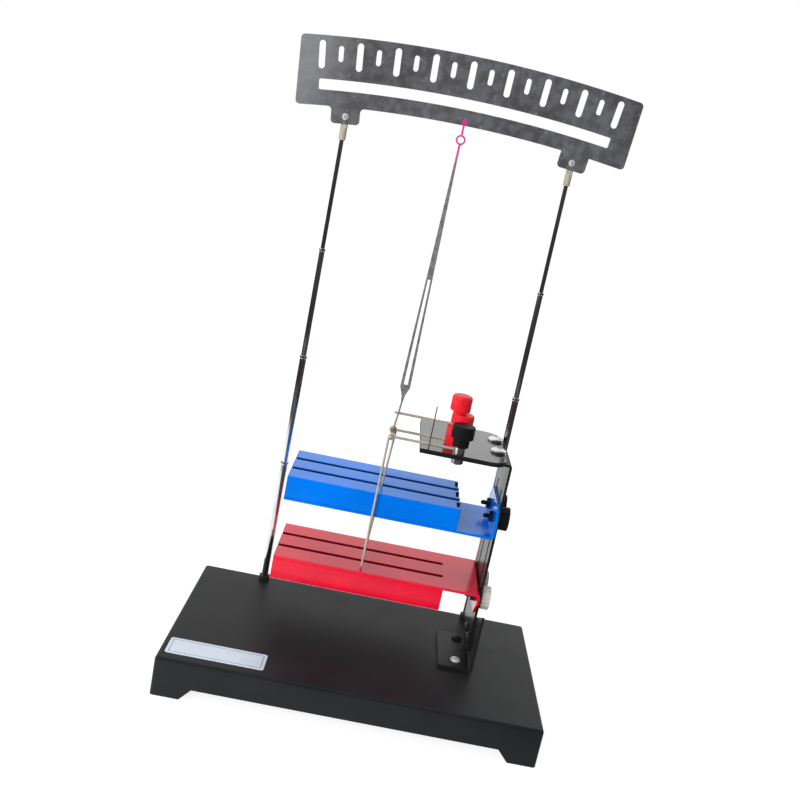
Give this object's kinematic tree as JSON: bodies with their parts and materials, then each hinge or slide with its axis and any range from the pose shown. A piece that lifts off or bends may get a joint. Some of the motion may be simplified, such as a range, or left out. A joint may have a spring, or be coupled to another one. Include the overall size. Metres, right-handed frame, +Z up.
{
  "type": "ampere force apparatus",
  "caption": "Classroom stand with a wire frame that swings between two magnet bars on an upright, and a pointer that shows the swing on a slotted scale held by telescopic rods.",
  "frame": {"origin": "middle of the base, on the surface that it stands on", "axes": "+Z up, +X to the right as seen from the sticker's side, +Y towards the scale plate"},
  "size_m": [0.28, 0.16, 0.4795],
  "materials": {
    "base_black": "satin black paint",
    "sticker": "pale silvery sticker, blank",
    "chrome": "bright chrome plating",
    "black_steel": "semi-gloss black paint",
    "zinc": "zinc plated",
    "scale_steel": "dark mottled steel",
    "brass": "bright brass",
    "panel_black": "glossy black",
    "black_plastic": "moulded, semi-gloss",
    "red_plastic": "moulded, glossy",
    "cream_plastic": "moulded, semi-gloss",
    "blue_paint": "glossy blue paint",
    "red_paint": "glossy red paint",
    "pointer_metal": "light metal, magenta towards the tip",
    "stem_steel": "thin wire",
    "insulator": "dull brown plastic"
  },
  "bodies": {
    "stand": {"base_tray": "base_black", "base_label": "sticker", "rod_foot_sleeves": "black_steel", "rod_foot_studs": "zinc", "rod_foot_nuts": "zinc", "left_rod_stage_1": "chrome", "right_rod_stage_1": "chrome", "foot_bracket": "black_steel", "bracket_front_screw": "zinc", "bracket_rear_screw": "black_steel", "bracket_bolts": "zinc", "bracket_nuts": "zinc", "upright": "black_steel", "terminal_panel": "panel_black", "panel_screws": "zinc", "panel_nuts": "zinc", "steel_pin": "zinc", "black_post_collar": "zinc", "black_post_stud": "brass", "red_post_base": "red_plastic", "red_post_stud": "brass", "post_nuts": "zinc", "front_arm": "brass", "back_arm": "brass", "top_arm": "brass"},
    "lower_tubes": {"left_rod_stage_2": "chrome", "right_rod_stage_2": "chrome"},
    "upper_tubes": {"left_rod_stage_3": "chrome", "right_rod_stage_3": "chrome"},
    "scale": {"left_rod_stage_4": "chrome", "right_rod_stage_4": "chrome", "rod_end_fittings": "brass", "scale_plate": "scale_steel", "scale_screws": "zinc", "scale_nuts": "zinc"},
    "pendulum": {"conductor": "brass", "axle_sleeve": "insulator", "pointer_stem": "stem_steel", "pointer_blade": "pointer_metal"},
    "blue_unit": {"blue_carrier": "blue_paint", "blue_bar_front": "blue_paint", "blue_bar_middle": "blue_paint", "blue_bar_rear": "blue_paint", "blue_clamp_nuts": "zinc"},
    "red_unit": {"red_carrier": "red_paint", "red_bar_front": "red_paint", "red_bar_middle": "red_paint", "red_bar_rear": "red_paint", "red_clamp_nuts": "zinc"},
    "blue_front_clamp": {"blue_front_screw": "zinc", "blue_front_knob": "black_plastic"},
    "blue_rear_clamp": {"blue_rear_screw": "zinc", "blue_rear_knob": "black_plastic"},
    "red_front_clamp": {"red_front_screw": "zinc", "red_front_knob": "cream_plastic"},
    "red_rear_clamp": {"red_rear_screw": "zinc", "red_rear_knob": "cream_plastic"},
    "black_knob": {"black_post_knob": "black_plastic"},
    "red_knob": {"red_post_knob": "red_plastic"}
  },
  "joints": [
    {"name": "pendulum_swing", "type": "hinge", "parent": "stand", "child": "pendulum", "pos_m": [-0.006, 0.01, 0.198], "axis": [0, 1, 0], "range_deg": [-20, 20]},
    {"name": "lower_tubes_slide", "type": "slide", "parent": "stand", "child": "lower_tubes", "axis": [0, 0, -1], "range_m": [0, 0.066]},
    {"name": "upper_tubes_slide", "type": "slide", "parent": "lower_tubes", "child": "upper_tubes", "axis": [0, 0, -1], "range_m": [0, 0.066]},
    {"name": "scale_slide", "type": "slide", "parent": "upper_tubes", "child": "scale", "axis": [0, 0, -1], "range_m": [0, 0.066]},
    {"name": "blue_unit_slide", "type": "slide", "parent": "stand", "child": "blue_unit", "axis": [0, 0, 1], "range_m": [-0.03, 0.018]},
    {"name": "red_unit_slide", "type": "slide", "parent": "stand", "child": "red_unit", "axis": [0, 0, 1], "range_m": [-0.006, 0.004]},
    {"name": "blue_front_clamp_turn", "type": "hinge", "parent": "blue_unit", "child": "blue_front_clamp", "pos_m": [0.088, 0.022, 0.1438], "axis": [1, 0, 0], "continuous": true},
    {"name": "blue_rear_clamp_turn", "type": "hinge", "parent": "blue_unit", "child": "blue_rear_clamp", "pos_m": [0.088, 0.052, 0.1438], "axis": [1, 0, 0], "continuous": true},
    {"name": "red_front_clamp_turn", "type": "hinge", "parent": "red_unit", "child": "red_front_clamp", "pos_m": [0.088, 0.022, 0.0755], "axis": [1, 0, 0], "continuous": true},
    {"name": "red_rear_clamp_turn", "type": "hinge", "parent": "red_unit", "child": "red_rear_clamp", "pos_m": [0.088, 0.052, 0.0755], "axis": [1, 0, 0], "continuous": true},
    {"name": "black_knob_turn", "type": "hinge", "parent": "stand", "child": "black_knob", "pos_m": [0.045, -0.0003, 0.21], "axis": [0, 0, 1], "continuous": true},
    {"name": "red_knob_turn", "type": "hinge", "parent": "stand", "child": "red_knob", "pos_m": [0.041, 0.0203, 0.21], "axis": [0, 0, 1], "continuous": true}
  ]
}
